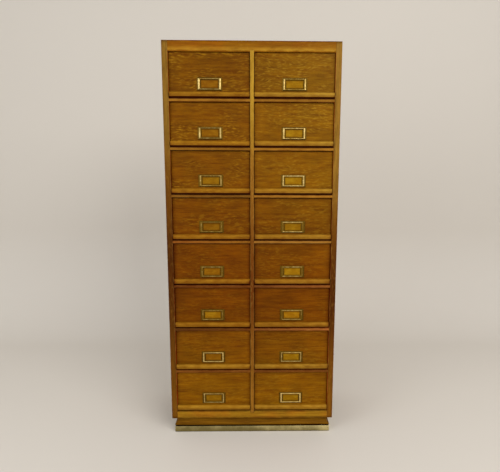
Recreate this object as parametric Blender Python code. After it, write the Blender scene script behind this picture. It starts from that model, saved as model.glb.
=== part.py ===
# Oak filing cabinet: two columns of eight drawers behind one face of thin shelves and a
# centre muntin, framed and panelled sides, and a coved plinth shod with a brass band.
# Metres, +Z up, the drawers open towards -Y, the origin is under the middle of the cabinet.

import bpy
import bmesh
from math import cos, pi, radians, sin

# Driving dimensions of the carcass
ROW_COUNT = 8
COLUMN_NAMES = ("left", "right")
CARCASS_WIDTH = 0.808
CARCASS_DEPTH = 0.420
OPENING_HEIGHT = 0.205
SHELF_THICKNESS = 0.012
PARTITION_THICKNESS = 0.0175
TOP_RAIL_HEIGHT = 0.0455
BOTTOM_RAIL_HEIGHT = 0.039
FACE_RAIL_THICKNESS = 0.022
RAIL_CHAMFER = 0.003
TENON_LENGTH = 0.012
TENON_THICKNESS = 0.009
TENON_SHOULDER = 0.006
BOARD_THICKNESS = 0.020
BACK_THICKNESS = 0.008
BACK_REBATE = 0.010
HOUSING_DEPTH = 0.006
MUNTIN_HOUSING = 0.005

# Driving dimensions of the framed sides
STILE_THICKNESS = 0.027
STILE_WIDTH = 0.060
STILE_CHAMFER = 0.0015
SIDE_TOP_RAIL_HEIGHT = 0.085
SIDE_BOTTOM_RAIL_HEIGHT = 0.100
PANEL_THICKNESS = 0.008
PANEL_GROOVE_DEPTH = 0.008

# Driving dimensions of the plinth and its band
PLINTH_HEIGHT = 0.081
PLINTH_THICKNESS = 0.018
PLINTH_FOOT_INSET = 0.012
PLINTH_REAR_INSET = 0.010
PLINTH_LIP_HEIGHT = 0.003
QUIRK_HEIGHT = 0.005
QUIRK_DEPTH = 0.007
BAND_HEIGHT = 0.029
BAND_THICKNESS = 0.0015
BAND_FLOOR_GAP = 0.001
BAND_CORNER_RADIUS = 0.0012

# Driving dimensions of a drawer
FRONT_THICKNESS = 0.020
FRONT_RECESS = 0.0115
FRONT_SIDE_GAP = 0.0025
FRONT_TOP_GAP = 0.003
FRONT_BOTTOM_GAP = 0.002
FRONT_CHAMFER = 0.001
NOSING_LIFT = 0.0065
NOSING_HEIGHT = 0.0225
NOSING_DEPTH = 0.0165
NOSING_TOP_RADIUS = 0.011
NOSING_BOTTOM_RADIUS = 0.0025
DRAWER_SIDE_THICKNESS = 0.012
DRAWER_BACK_THICKNESS = 0.012
DRAWER_BOTTOM_THICKNESS = 0.006
DRAWER_RUNNER_HEIGHT = 0.009
DRAWER_HEADROOM = 0.016
DRAWER_BACK_DROP = 0.010
DRAWER_REAR_GAP = 0.001

# Driving dimensions of a label holder
HOLDER_WIDTH = 0.115
HOLDER_HEIGHT = 0.0575
HOLDER_THICKNESS = 0.005
HOLDER_BORDER_X = 0.018
HOLDER_BORDER_Z = 0.011
HOLDER_RIM = 0.0014
HOLDER_LIFT = 0.006
CARD_SEAT_SHARE = 0.65
CARD_SEAT_DEPTH = 0.0012

# Gap between pieces that touch, and how finely round stretches are divided
FIT = 0.0003
ARC_STEPS = 6
HOLDER_STEPS = 8
SMOOTH_ANGLE = radians(35)

# Heights, from the floor up
FLOOR_OF_CARCASS = PLINTH_HEIGHT
FLOOR_OF_DRAWERS = FLOOR_OF_CARCASS + BOTTOM_RAIL_HEIGHT
ROW_PITCH = OPENING_HEIGHT + SHELF_THICKNESS
TOP_OF_OPENINGS = FLOOR_OF_DRAWERS + ROW_COUNT * ROW_PITCH - SHELF_THICKNESS
TOP_OF_CARCASS = TOP_OF_OPENINGS + TOP_RAIL_HEIGHT
TOP_BOARD_UNDERSIDE = TOP_OF_CARCASS - BOARD_THICKNESS
BOTTOM_BOARD_UNDERSIDE = FLOOR_OF_DRAWERS - BOARD_THICKNESS

# Depths, from the nosings to the back; the face is the plane of the stiles and rails
NOSING_STANDS_OUT = NOSING_DEPTH - FRONT_RECESS
FACE_Y = (NOSING_STANDS_OUT - CARCASS_DEPTH) / 2
BACK_Y = FACE_Y + CARCASS_DEPTH
BACK_INNER_Y = BACK_Y - BACK_THICKNESS
BOARD_FRONT_Y = FACE_Y + FACE_RAIL_THICKNESS + FIT
BOARD_REAR_Y = BACK_INNER_Y - FIT
LAP_Y = (FACE_Y + BOARD_REAR_Y) / 2

# Widths, from the middle out
HALF_WIDTH = CARCASS_WIDTH / 2
HALF_INSIDE = HALF_WIDTH - STILE_THICKNESS
HALF_HOUSED = HALF_INSIDE + HOUSING_DEPTH - FIT
HALF_PARTITION = PARTITION_THICKNESS / 2
OPENING_WIDTH = HALF_INSIDE - HALF_PARTITION
COLUMN_X = HALF_PARTITION + OPENING_WIDTH / 2

# The side panel stands in the middle of the wood that the housings leave
GROOVE_WIDTH = PANEL_THICKNESS + 2 * FIT
GROOVE_OUTER = (STILE_THICKNESS - HOUSING_DEPTH - GROOVE_WIDTH) / 2
GROOVE_INNER = GROOVE_OUTER + GROOVE_WIDTH
FRONT_STILE_REAR_Y = FACE_Y + STILE_WIDTH
REAR_STILE_FRONT_Y = BACK_Y - STILE_WIDTH

# The upright face of the plinth stands just inside the stiles and the face rail
PLINTH_FACE_INSET = max(STILE_THICKNESS, FACE_RAIL_THICKNESS) + FIT
PLINTH_TOP = BOTTOM_BOARD_UNDERSIDE - FIT
PLINTH_INNER_INSET = PLINTH_FACE_INSET + PLINTH_THICKNESS
PLINTH_REAR_Y = BACK_Y - PLINTH_REAR_INSET

# A drawer, from its own origin: the middle of its front's face, at the shelf's top
DRAWER_HALF_WIDTH = OPENING_WIDTH / 2 - FRONT_SIDE_GAP
DRAWER_Y = FACE_Y + FRONT_RECESS
DRAWER_REAR = BACK_INNER_Y - DRAWER_REAR_GAP - DRAWER_Y
DRAWER_SIDE_TOP = OPENING_HEIGHT - DRAWER_HEADROOM
DRAWER_INNER_HALF = DRAWER_HALF_WIDTH - DRAWER_SIDE_THICKNESS
BOTTOM_PANEL_TOP = FIT + DRAWER_RUNNER_HEIGHT + DRAWER_BOTTOM_THICKNESS
NOSING_UNDERSIDE = FRONT_BOTTOM_GAP + NOSING_LIFT
NOSING_TOP = NOSING_UNDERSIDE + NOSING_HEIGHT
HOLDER_CENTRE = NOSING_TOP + HOLDER_LIFT + HOLDER_HEIGHT / 2


def clear_scene():
    for leftover in list(bpy.data.objects):
        bpy.data.objects.remove(leftover, do_unlink=True)


def make_material(name, colour, roughness, metallic=0.0):
    made = bpy.data.materials.new(name)
    made.use_nodes = True
    shader = made.node_tree.nodes["Principled BSDF"]
    shader.inputs["Base Color"].default_value = (*colour, 1.0)
    shader.inputs["Roughness"].default_value = roughness
    shader.inputs["Metallic"].default_value = metallic
    return made


def new_object(name, mesh, material=None):
    made = bpy.data.objects.new(name, mesh)
    bpy.context.collection.objects.link(made)
    if material:
        mesh.materials.clear()
        mesh.materials.append(material)
    return made


def finish_mesh(bm, name):
    # Turns every face outwards and keeps the arrises crisp beside the round stretches.
    bmesh.ops.recalc_face_normals(bm, faces=bm.faces)
    mesh = bpy.data.meshes.new(name)
    bm.to_mesh(mesh)
    bm.free()
    mesh.shade_smooth()
    mesh.set_sharp_from_angle(angle=SMOOTH_ANGLE)
    return mesh


def prism(name, outline, axis, start, end, material=None):
    # Extrudes a closed outline along an axis; its points are in the other two axes' order.
    def place(point, along):
        place_of = list(point)
        place_of.insert("XYZ".index(axis), along)
        return place_of

    bm = bmesh.new()
    face = bm.faces.new([bm.verts.new(place(point, start)) for point in outline])
    grown = bmesh.ops.extrude_face_region(bm, geom=[face])["geom"]
    moved = [item for item in grown if isinstance(item, bmesh.types.BMVert)]
    bmesh.ops.translate(bm, verts=moved, vec=place((0, 0), end - start))
    return new_object(name, finish_mesh(bm, name), material)


def block(name, low, high, material=None):
    outline = [(low[0], low[1]), (high[0], low[1]), (high[0], high[1]), (low[0], high[1])]
    return prism(name, outline, "Z", low[2], high[2], material)


def combine(target, tool, operation):
    # Cuts or joins the tool, then puts the result in the target's mesh.
    step = target.modifiers.new("joinery", "BOOLEAN")
    step.operation = operation
    step.solver = "EXACT"
    step.object = tool
    solid = target.evaluated_get(bpy.context.evaluated_depsgraph_get())
    mesh = bpy.data.meshes.new_from_object(solid)
    target.modifiers.clear()
    target.data = mesh
    bpy.data.objects.remove(tool, do_unlink=True)
    bm = bmesh.new()
    bm.from_mesh(mesh)
    bmesh.ops.dissolve_limit(bm, angle_limit=radians(0.5), verts=bm.verts, edges=bm.edges)
    bm.to_mesh(mesh)
    bm.free()
    return target


def cut(target, tool):
    return combine(target, tool, "DIFFERENCE")


def join(target, tool):
    return combine(target, tool, "UNION")


def arc(centre, radius, first, last, steps=ARC_STEPS):
    # Points on a circle, or on an ellipse where radius is a pair, from one angle to another.
    across, up = radius if isinstance(radius, tuple) else (radius, radius)
    turns = [first + (last - first) * step / steps for step in range(steps + 1)]
    return [(centre[0] + across * cos(turn), centre[1] + up * sin(turn)) for turn in turns]


def shelf_top(row):
    # Height of the floor that a row's drawers run on; row 1 is the highest.
    return FLOOR_OF_DRAWERS + (ROW_COUNT - row) * ROW_PITCH


# Framed sides

def housings():
    # Heights of the grooves that hold the ends of the shelves and of the two boards.
    levels = [(BOTTOM_BOARD_UNDERSIDE, FLOOR_OF_DRAWERS), (TOP_BOARD_UNDERSIDE, TOP_OF_CARCASS)]
    levels += [(shelf_top(row) - SHELF_THICKNESS, shelf_top(row)) for row in range(1, ROW_COUNT)]
    return levels


def side_x(side, inset):
    return side * (HALF_WIDTH - inset)


def cut_housings(stile, side):
    inner = side_x(side, STILE_THICKNESS + HOUSING_DEPTH)
    floor = side_x(side, STILE_THICKNESS - HOUSING_DEPTH)
    for low, high in housings():
        past = HOUSING_DEPTH if high == TOP_OF_CARCASS else FIT
        corner = (min(inner, floor), BOARD_FRONT_Y - FIT, low - FIT)
        opposite = (max(inner, floor), BACK_Y + HOUSING_DEPTH, high + past)
        cut(stile, block("housing", corner, opposite))


def cut_mortises(stile, side):
    inner = side_x(side, STILE_THICKNESS + HOUSING_DEPTH)
    floor = side_x(side, STILE_THICKNESS - TENON_LENGTH)
    for low, high in face_rail_heights():
        front, rear, under, over = tenon_section(low, high)
        corner = (min(inner, floor), front - FIT, under - FIT)
        opposite = (max(inner, floor), rear + FIT, over + FIT)
        cut(stile, block("mortise", corner, opposite))


def make_front_stile(name, side, material):
    outline = [
        (side_x(side, 0), FACE_Y + STILE_CHAMFER),
        (side_x(side, STILE_CHAMFER), FACE_Y),
        (side_x(side, STILE_THICKNESS), FACE_Y),
        (side_x(side, STILE_THICKNESS), FRONT_STILE_REAR_Y),
        (side_x(side, GROOVE_INNER), FRONT_STILE_REAR_Y),
        (side_x(side, GROOVE_INNER), FRONT_STILE_REAR_Y - PANEL_GROOVE_DEPTH),
        (side_x(side, GROOVE_OUTER), FRONT_STILE_REAR_Y - PANEL_GROOVE_DEPTH),
        (side_x(side, GROOVE_OUTER), FRONT_STILE_REAR_Y),
        (side_x(side, 0), FRONT_STILE_REAR_Y),
    ]
    stile = prism(name, outline, "Z", FLOOR_OF_CARCASS, TOP_OF_CARCASS, material)
    cut_housings(stile, side)
    cut_mortises(stile, side)
    return stile


def make_rear_stile(name, side, material):
    outline = [
        (side_x(side, 0), BACK_Y),
        (side_x(side, STILE_THICKNESS - BACK_REBATE), BACK_Y),
        (side_x(side, STILE_THICKNESS - BACK_REBATE), BACK_INNER_Y - FIT),
        (side_x(side, STILE_THICKNESS), BACK_INNER_Y - FIT),
        (side_x(side, STILE_THICKNESS), REAR_STILE_FRONT_Y),
        (side_x(side, GROOVE_INNER), REAR_STILE_FRONT_Y),
        (side_x(side, GROOVE_INNER), REAR_STILE_FRONT_Y + PANEL_GROOVE_DEPTH),
        (side_x(side, GROOVE_OUTER), REAR_STILE_FRONT_Y + PANEL_GROOVE_DEPTH),
        (side_x(side, GROOVE_OUTER), REAR_STILE_FRONT_Y),
        (side_x(side, 0), REAR_STILE_FRONT_Y),
    ]
    stile = prism(name, outline, "Z", FLOOR_OF_CARCASS, TOP_OF_CARCASS, material)
    cut_housings(stile, side)
    return stile


def add_stub_tenons(rail, side, low, high):
    # A tenon on each end of a side rail, in line with the panel and filling the same groove.
    near = FRONT_STILE_REAR_Y - PANEL_GROOVE_DEPTH + FIT
    far = REAR_STILE_FRONT_Y + PANEL_GROOVE_DEPTH - FIT
    edges = sorted((side_x(side, GROOVE_OUTER + FIT), side_x(side, GROOVE_INNER - FIT)))
    return join(rail, block("tenon", (edges[0], near, low), (edges[1], far, high)))


def make_side_bottom_rail(name, side, material):
    low = FLOOR_OF_CARCASS
    high = low + SIDE_BOTTOM_RAIL_HEIGHT
    outline = [
        (side_x(side, 0), low),
        (side_x(side, STILE_THICKNESS), low),
        (side_x(side, STILE_THICKNESS), BOTTOM_BOARD_UNDERSIDE - FIT),
        (side_x(side, STILE_THICKNESS - HOUSING_DEPTH), BOTTOM_BOARD_UNDERSIDE - FIT),
        (side_x(side, STILE_THICKNESS - HOUSING_DEPTH), FLOOR_OF_DRAWERS + FIT),
        (side_x(side, STILE_THICKNESS), FLOOR_OF_DRAWERS + FIT),
        (side_x(side, STILE_THICKNESS), high),
        (side_x(side, GROOVE_INNER), high),
        (side_x(side, GROOVE_INNER), high - PANEL_GROOVE_DEPTH),
        (side_x(side, GROOVE_OUTER), high - PANEL_GROOVE_DEPTH),
        (side_x(side, GROOVE_OUTER), high),
        (side_x(side, 0), high),
    ]
    ends = (FRONT_STILE_REAR_Y + FIT, REAR_STILE_FRONT_Y - FIT)
    rail = prism(name, outline, "Y", *ends, material)
    return add_stub_tenons(rail, side, low, high - PANEL_GROOVE_DEPTH)


def make_side_top_rail(name, side, material):
    high = TOP_OF_CARCASS
    low = high - SIDE_TOP_RAIL_HEIGHT
    outline = [
        (side_x(side, 0), high),
        (side_x(side, STILE_THICKNESS - HOUSING_DEPTH), high),
        (side_x(side, STILE_THICKNESS - HOUSING_DEPTH), TOP_BOARD_UNDERSIDE - FIT),
        (side_x(side, STILE_THICKNESS), TOP_BOARD_UNDERSIDE - FIT),
        (side_x(side, STILE_THICKNESS), low),
        (side_x(side, GROOVE_INNER), low),
        (side_x(side, GROOVE_INNER), low + PANEL_GROOVE_DEPTH),
        (side_x(side, GROOVE_OUTER), low + PANEL_GROOVE_DEPTH),
        (side_x(side, GROOVE_OUTER), low),
        (side_x(side, 0), low),
    ]
    ends = (FRONT_STILE_REAR_Y + FIT, REAR_STILE_FRONT_Y - FIT)
    rail = prism(name, outline, "Y", *ends, material)
    return add_stub_tenons(rail, side, low + PANEL_GROOVE_DEPTH, high)


def make_side_panel(name, side, material):
    reach = PANEL_GROOVE_DEPTH - FIT
    edges = sorted((side_x(side, GROOVE_OUTER + FIT), side_x(side, GROOVE_INNER - FIT)))
    low = FLOOR_OF_CARCASS + SIDE_BOTTOM_RAIL_HEIGHT - reach
    high = TOP_OF_CARCASS - SIDE_TOP_RAIL_HEIGHT + reach
    corner = (edges[0], FRONT_STILE_REAR_Y - reach, low)
    return block(name, corner, (edges[1], REAR_STILE_FRONT_Y + reach, high), material)


def make_side(side_name, side, material):
    make_front_stile(f"side_{side_name}_front_stile", side, material)
    make_rear_stile(f"side_{side_name}_rear_stile", side, material)
    make_side_top_rail(f"side_{side_name}_top_rail", side, material)
    make_side_bottom_rail(f"side_{side_name}_bottom_rail", side, material)
    make_side_panel(f"side_{side_name}_panel", side, material)


# Face rails, boards and the cross-lapped rack

def face_rail_heights():
    return ((FLOOR_OF_CARCASS, FLOOR_OF_DRAWERS), (TOP_OF_OPENINGS, TOP_OF_CARCASS))


def tenon_section(low, high):
    # Front, rear, underside and top of a face rail's tenon, in the middle of its thickness.
    middle = FACE_Y + FACE_RAIL_THICKNESS / 2
    half = TENON_THICKNESS / 2
    return middle - half, middle + half, low + TENON_SHOULDER, high - TENON_SHOULDER


def make_face_rail(name, low, high, chamfered_edge, muntin_edge, material):
    # The chamfer runs along the lower edge of the top rail and the upper of the bottom one.
    rear = FACE_Y + FACE_RAIL_THICKNESS
    inward = RAIL_CHAMFER if chamfered_edge == low else -RAIL_CHAMFER
    other_edge = low + high - chamfered_edge
    outline = [
        (FACE_Y + RAIL_CHAMFER, chamfered_edge),
        (rear, chamfered_edge),
        (rear, other_edge),
        (FACE_Y, other_edge),
        (FACE_Y, chamfered_edge + inward),
    ]
    shoulder = HALF_INSIDE - FIT
    rail = prism(name, outline, "X", -shoulder, shoulder, material)
    front, back, under, over = tenon_section(low, high)
    tip = HALF_INSIDE + TENON_LENGTH - FIT
    join(rail, block("tenon", (-tip, front, under), (tip, back, over)))
    half_housing = HALF_PARTITION + FIT
    corner = (-half_housing, FACE_Y - MUNTIN_HOUSING, muntin_edge - MUNTIN_HOUSING)
    opposite = (half_housing, rear + MUNTIN_HOUSING, muntin_edge + MUNTIN_HOUSING)
    return cut(rail, block("muntin housing", corner, opposite))


def make_bottom_board(material):
    # A plain board with a housing along its middle for the foot of the partition.
    half_housing = HALF_PARTITION + FIT
    housing_floor = FLOOR_OF_DRAWERS - MUNTIN_HOUSING
    outline = [
        (-HALF_HOUSED, BOTTOM_BOARD_UNDERSIDE),
        (HALF_HOUSED, BOTTOM_BOARD_UNDERSIDE),
        (HALF_HOUSED, FLOOR_OF_DRAWERS),
        (half_housing, FLOOR_OF_DRAWERS),
        (half_housing, housing_floor),
        (-half_housing, housing_floor),
        (-half_housing, FLOOR_OF_DRAWERS),
        (-HALF_HOUSED, FLOOR_OF_DRAWERS),
    ]
    return prism("bottom_board", outline, "Y", BOARD_FRONT_Y, BOARD_REAR_Y, material)


def make_top_board(material):
    corner = (-HALF_HOUSED, BOARD_FRONT_Y, TOP_BOARD_UNDERSIDE)
    return block("top_board", corner, (HALF_HOUSED, BOARD_REAR_Y, TOP_OF_CARCASS), material)


def make_back_panel(material):
    half = HALF_INSIDE + BACK_REBATE - FIT
    corner = (-half, BACK_INNER_Y, FLOOR_OF_CARCASS)
    return block("back_panel", corner, (half, BACK_Y, TOP_OF_CARCASS), material)


def shelf_outline():
    # The ends are housed behind the stiles' front edges, and a slot that is open at the
    # front laps over the partition down to the middle of the depth.
    half_slot = HALF_PARTITION + FIT
    half_front = HALF_INSIDE - FIT
    slot_end = LAP_Y + FIT
    right = [
        (half_slot, slot_end),
        (half_slot, FACE_Y),
        (half_front, FACE_Y),
        (half_front, BOARD_FRONT_Y),
        (HALF_HOUSED, BOARD_FRONT_Y),
        (HALF_HOUSED, BOARD_REAR_Y),
    ]
    left = [(-x, y) for x, y in reversed(right)]
    return right + left


def make_shelves(material):
    first = prism("shelf_1", shelf_outline(), "Z", -SHELF_THICKNESS, 0, material)
    first.location.z = shelf_top(1)
    for row in range(2, ROW_COUNT):
        shelf = new_object(f"shelf_{row}", first.data)
        shelf.location.z = shelf_top(row)


def make_partition(material):
    # Its front edge is the muntin; slots open at the back lap over the shelves.
    foot = FLOOR_OF_DRAWERS - MUNTIN_HOUSING + FIT
    muntin_top = TOP_OF_OPENINGS + MUNTIN_HOUSING - FIT
    head = TOP_BOARD_UNDERSIDE - FIT
    outline = [
        (FACE_Y, foot),
        (FACE_Y, muntin_top),
        (BOARD_FRONT_Y, muntin_top),
        (BOARD_FRONT_Y, head),
        (BOARD_REAR_Y, head),
    ]
    for row in range(1, ROW_COUNT):
        over = shelf_top(row) + FIT
        under = shelf_top(row) - SHELF_THICKNESS - FIT
        outline += [(BOARD_REAR_Y, over), (LAP_Y, over), (LAP_Y, under), (BOARD_REAR_Y, under)]
    outline.append((BOARD_REAR_Y, foot))
    return prism("centre_partition", outline, "X", -HALF_PARTITION, HALF_PARTITION, material)


# Plinth and band

def plinth_section():
    # Inset from the carcass's outer plane and height: a foot for the band, a dark quirk, a
    # lip, a cove that sweeps in under the carcass, and an upright that carries its floor.
    foot_inset = PLINTH_FOOT_INSET + BAND_THICKNESS + FIT
    quirk_inset = PLINTH_FOOT_INSET + QUIRK_DEPTH
    band_top = BAND_FLOOR_GAP + BAND_HEIGHT
    lip_low = band_top + QUIRK_HEIGHT
    lip_high = lip_low + PLINTH_LIP_HEIGHT
    cove_size = (PLINTH_FACE_INSET - PLINTH_FOOT_INSET, FLOOR_OF_CARCASS - FIT - lip_high)
    cove = arc((PLINTH_FOOT_INSET, FLOOR_OF_CARCASS - FIT), cove_size, -pi / 2, 0)
    section = [
        (PLINTH_INNER_INSET, 0),
        (foot_inset, 0),
        (foot_inset, band_top),
        (quirk_inset, band_top),
        (quirk_inset, lip_low),
        (PLINTH_FOOT_INSET, lip_low),
    ]
    return section + cove + [(PLINTH_FACE_INSET, PLINTH_TOP), (PLINTH_INNER_INSET, PLINTH_TOP)]


def moulded_board(name, section, start, end, material):
    # Runs a section between two ends; an end that moves with the inset cuts the mitre.
    bm = bmesh.new()
    first = [bm.verts.new(start(inset, height)) for inset, height in section]
    last = [bm.verts.new(end(inset, height)) for inset, height in section]
    bm.faces.new(first)
    bm.faces.new(reversed(last))
    for here in range(len(section)):
        bm.faces.new((first[here - 1], first[here], last[here], last[here - 1]))
    return new_object(name, finish_mesh(bm, name), material)


def make_plinth(material):
    section = plinth_section()
    moulded_board(
        "plinth_front",
        section,
        lambda inset, height: (inset - HALF_WIDTH, FACE_Y + inset, height),
        lambda inset, height: (HALF_WIDTH - inset, FACE_Y + inset, height),
        material,
    )
    for name, side in zip(COLUMN_NAMES, (-1, 1)):
        moulded_board(
            f"plinth_{name}",
            section,
            lambda inset, height: (side_x(side, inset), FACE_Y + inset + 2 * FIT, height),
            lambda inset, height: (side_x(side, inset), PLINTH_REAR_Y, height),
            material,
        )
    half = HALF_WIDTH - PLINTH_INNER_INSET - FIT
    corner = (-half, PLINTH_REAR_Y - PLINTH_THICKNESS, 0)
    block("plinth_back", corner, (half, PLINTH_REAR_Y, PLINTH_TOP), material)


def make_brass_band(material):
    # One strip round the front and both sides, with eased corners.
    half_outer = HALF_WIDTH - PLINTH_FOOT_INSET
    half_inner = half_outer - BAND_THICKNESS
    front_outer = FACE_Y + PLINTH_FOOT_INSET
    front_inner = front_outer + BAND_THICKNESS
    corner = (half_outer - BAND_CORNER_RADIUS, front_outer + BAND_CORNER_RADIUS)
    right = [
        *arc(corner, BAND_CORNER_RADIUS, -pi / 2, 0),
        (half_outer, PLINTH_REAR_Y),
        (half_inner, PLINTH_REAR_Y),
        (half_inner, front_inner),
    ]
    left = [(-x, y) for x, y in reversed(right)]
    top = BAND_FLOOR_GAP + BAND_HEIGHT
    return prism("brass_band", right + left, "Z", BAND_FLOOR_GAP, top, material)


# Drawers, from their own origin

def front_section():
    # Depth and height of the front: a flat field over a nosing with a round shoulder, which
    # stands out as the finger grip, and a narrow plain edge under it.
    shoulder = (NOSING_TOP_RADIUS - NOSING_DEPTH, NOSING_TOP - NOSING_TOP_RADIUS)
    chin = (NOSING_BOTTOM_RADIUS - NOSING_DEPTH, NOSING_UNDERSIDE + NOSING_BOTTOM_RADIUS)
    top = OPENING_HEIGHT - FRONT_TOP_GAP
    return [
        (FRONT_THICKNESS, FRONT_BOTTOM_GAP),
        (0, FRONT_BOTTOM_GAP),
        (0, NOSING_UNDERSIDE),
        *arc(chin, NOSING_BOTTOM_RADIUS, -pi / 2, -pi, ARC_STEPS // 2),
        *arc(shoulder, NOSING_TOP_RADIUS, pi, pi / 2),
        (0, NOSING_TOP),
        (0, top - FRONT_CHAMFER),
        (FRONT_CHAMFER, top),
        (FRONT_THICKNESS, top),
    ]


def make_drawer_mesh(material):
    # The box overlaps the front before the two are joined, as lapped dovetails would.
    lap = FRONT_THICKNESS / 2
    inside = DRAWER_INNER_HALF
    rear = DRAWER_REAR
    bottom = FIT + DRAWER_RUNNER_HEIGHT
    back_top = DRAWER_SIDE_TOP - DRAWER_BACK_DROP
    box = block("drawer", (-DRAWER_HALF_WIDTH, lap, FIT), (DRAWER_HALF_WIDTH, rear, DRAWER_SIDE_TOP))
    cavity_rear = rear - DRAWER_BACK_THICKNESS
    cut(box, block("inside", (-inside, 0, BOTTOM_PANEL_TOP), (inside, cavity_rear, OPENING_HEIGHT)))
    cut(box, block("underneath", (-inside, 0, -bottom), (inside, rear + lap, bottom)))
    cut(box, block("over the back", (-inside, lap, back_top), (inside, rear + lap, OPENING_HEIGHT)))
    front = prism("front", front_section(), "X", -DRAWER_HALF_WIDTH, DRAWER_HALF_WIDTH)
    drawer = join(box, front)
    mesh = drawer.data
    bpy.data.objects.remove(drawer, do_unlink=True)
    mesh.materials.clear()
    mesh.materials.append(material)
    mesh.shade_smooth()
    mesh.set_sharp_from_angle(angle=SMOOTH_ANGLE)
    return mesh


def make_holder_mesh(material):
    # Rectangles nested from the outer edge in: up the rim, over the rounded border, down the
    # inner edge, back along the seat that keeps the card, and out along the drawer front.
    def half_size(share):
        return HOLDER_WIDTH / 2 - share * HOLDER_BORDER_X, HOLDER_HEIGHT / 2 - share * HOLDER_BORDER_Z

    crown = HOLDER_THICKNESS - HOLDER_RIM
    shares = [step / HOLDER_STEPS for step in range(HOLDER_STEPS + 1)]
    rings = [(share, HOLDER_RIM + crown * sin(pi * share)) for share in shares]
    rings += [(1, CARD_SEAT_DEPTH), (CARD_SEAT_SHARE, CARD_SEAT_DEPTH), (CARD_SEAT_SHARE, 0), (0, 0)]
    bm = bmesh.new()
    loops = []
    for share, height in rings:
        x, z = half_size(share)
        corners = ((-x, -z), (x, -z), (x, z), (-x, z))
        loops.append([bm.verts.new((across, -height, up)) for across, up in corners])
    for here, loop in enumerate(loops):
        for side in range(4):
            bm.faces.new((loops[here - 1][side - 1], loops[here - 1][side], loop[side], loop[side - 1]))
    holder = new_object("label holder", finish_mesh(bm, "label holder"))
    slot_x, slot_z = half_size(CARD_SEAT_SHARE)
    slot = block("slot", (-slot_x, -CARD_SEAT_DEPTH, 0), (slot_x, CARD_SEAT_DEPTH, HOLDER_HEIGHT))
    mesh = cut(holder, slot).data
    bpy.data.objects.remove(holder, do_unlink=True)
    mesh.materials.clear()
    mesh.materials.append(material)
    mesh.shade_smooth()
    mesh.set_sharp_from_angle(angle=SMOOTH_ANGLE)
    return mesh


def make_drawers(wood, brass):
    drawer_mesh = make_drawer_mesh(wood)
    holder_mesh = make_holder_mesh(brass)
    for column, side in zip(COLUMN_NAMES, (-1, 1)):
        for row in range(1, ROW_COUNT + 1):
            drawer = new_object(f"drawer_{column}_{row}", drawer_mesh)
            drawer.location = (side * COLUMN_X, DRAWER_Y, shelf_top(row))
            holder = new_object(f"label_holder_{column}_{row}", holder_mesh)
            holder.parent = drawer
            holder.location = (0, -FIT, HOLDER_CENTRE)


def main():
    clear_scene()
    frame_oak = make_material("frame oak", (0.27, 0.13, 0.035), 0.42)
    board_oak = make_material("board oak", (0.22, 0.11, 0.03), 0.5)
    front_oak = make_material("front oak", (0.19, 0.075, 0.008), 0.4)
    plinth_oak = make_material("plinth oak", (0.10, 0.045, 0.007), 0.5)
    brass = make_material("aged brass", (0.45, 0.36, 0.14), 0.35, 1.0)

    for side_name, side in zip(COLUMN_NAMES, (-1, 1)):
        make_side(side_name, side, frame_oak)
    bottom, top = face_rail_heights()
    make_face_rail("bottom_rail", *bottom, FLOOR_OF_DRAWERS, FLOOR_OF_DRAWERS, frame_oak)
    make_face_rail("top_rail", *top, TOP_OF_OPENINGS, TOP_OF_OPENINGS, frame_oak)
    make_bottom_board(board_oak)
    make_top_board(board_oak)
    make_back_panel(board_oak)
    make_shelves(board_oak)
    make_partition(board_oak)
    make_plinth(plinth_oak)
    make_brass_band(brass)
    make_drawers(front_oak, brass)


main()
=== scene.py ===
# Oak filing cabinet, dressed: eased boards with quarter-sawn figure, nosed drawer fronts on
# dovetailed boxes, brass label holders with aged cards, and a coved plinth in a brass band.

from math import pi, radians

import bmesh
import bpy
import numpy as np
from mathutils import Euler, Matrix, Vector


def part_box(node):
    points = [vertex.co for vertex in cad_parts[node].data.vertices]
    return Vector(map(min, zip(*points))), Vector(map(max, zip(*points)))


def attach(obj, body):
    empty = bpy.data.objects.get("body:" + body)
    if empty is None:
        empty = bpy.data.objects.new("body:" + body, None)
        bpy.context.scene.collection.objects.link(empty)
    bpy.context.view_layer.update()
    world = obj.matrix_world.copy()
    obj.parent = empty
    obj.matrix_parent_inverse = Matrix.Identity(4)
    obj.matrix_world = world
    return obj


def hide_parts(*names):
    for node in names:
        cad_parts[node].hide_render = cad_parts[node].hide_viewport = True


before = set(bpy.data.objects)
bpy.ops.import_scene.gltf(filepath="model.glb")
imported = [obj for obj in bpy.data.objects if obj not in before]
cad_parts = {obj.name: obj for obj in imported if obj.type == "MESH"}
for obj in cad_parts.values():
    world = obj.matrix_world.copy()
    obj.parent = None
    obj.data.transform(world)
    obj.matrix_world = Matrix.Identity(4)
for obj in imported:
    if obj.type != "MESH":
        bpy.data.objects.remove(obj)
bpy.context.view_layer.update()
chance = np.random.default_rng(1931)

columns = {"left": -1, "right": 1}
drawers = [(column, row) for column in columns for row in range(1, 9)]
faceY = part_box("top_rail")[0].y  # the plane of the stiles, rails and shelf edges
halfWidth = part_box("side_right_front_stile")[1].x
fit = 0.0003  # the clearance between the CAD pieces
hair = 0.0001  # the least clearance of a cut
past = 0.002  # how far a cutting tool reaches past the board
sharpFrom = radians(38)  # edges from this angle on are shaded sharp
treeReach = 40  # metres, in which each board has its own place in the grain
boardSpread = 0.05  # how much darker or lighter a board may be
print("Frame loaded,", len(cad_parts), "nodes")


def spread(most):
    return chance.uniform(-most, most)


# Camera, floor and lamps

cameraLook = {
    "lens": 30.9,  # mm
    "sensor": 36.0,  # mm
    "beforeFace": 2.0136,  # metres in front of the cabinet's face
    "aside": 0.03,
    "height": 1.3107,
    "pitchDown": 8.443,  # degrees
    "turnRight": 0.945,
    "roll": 0.22,
    "shift": -0.031,  # of the picture's width
}

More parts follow.
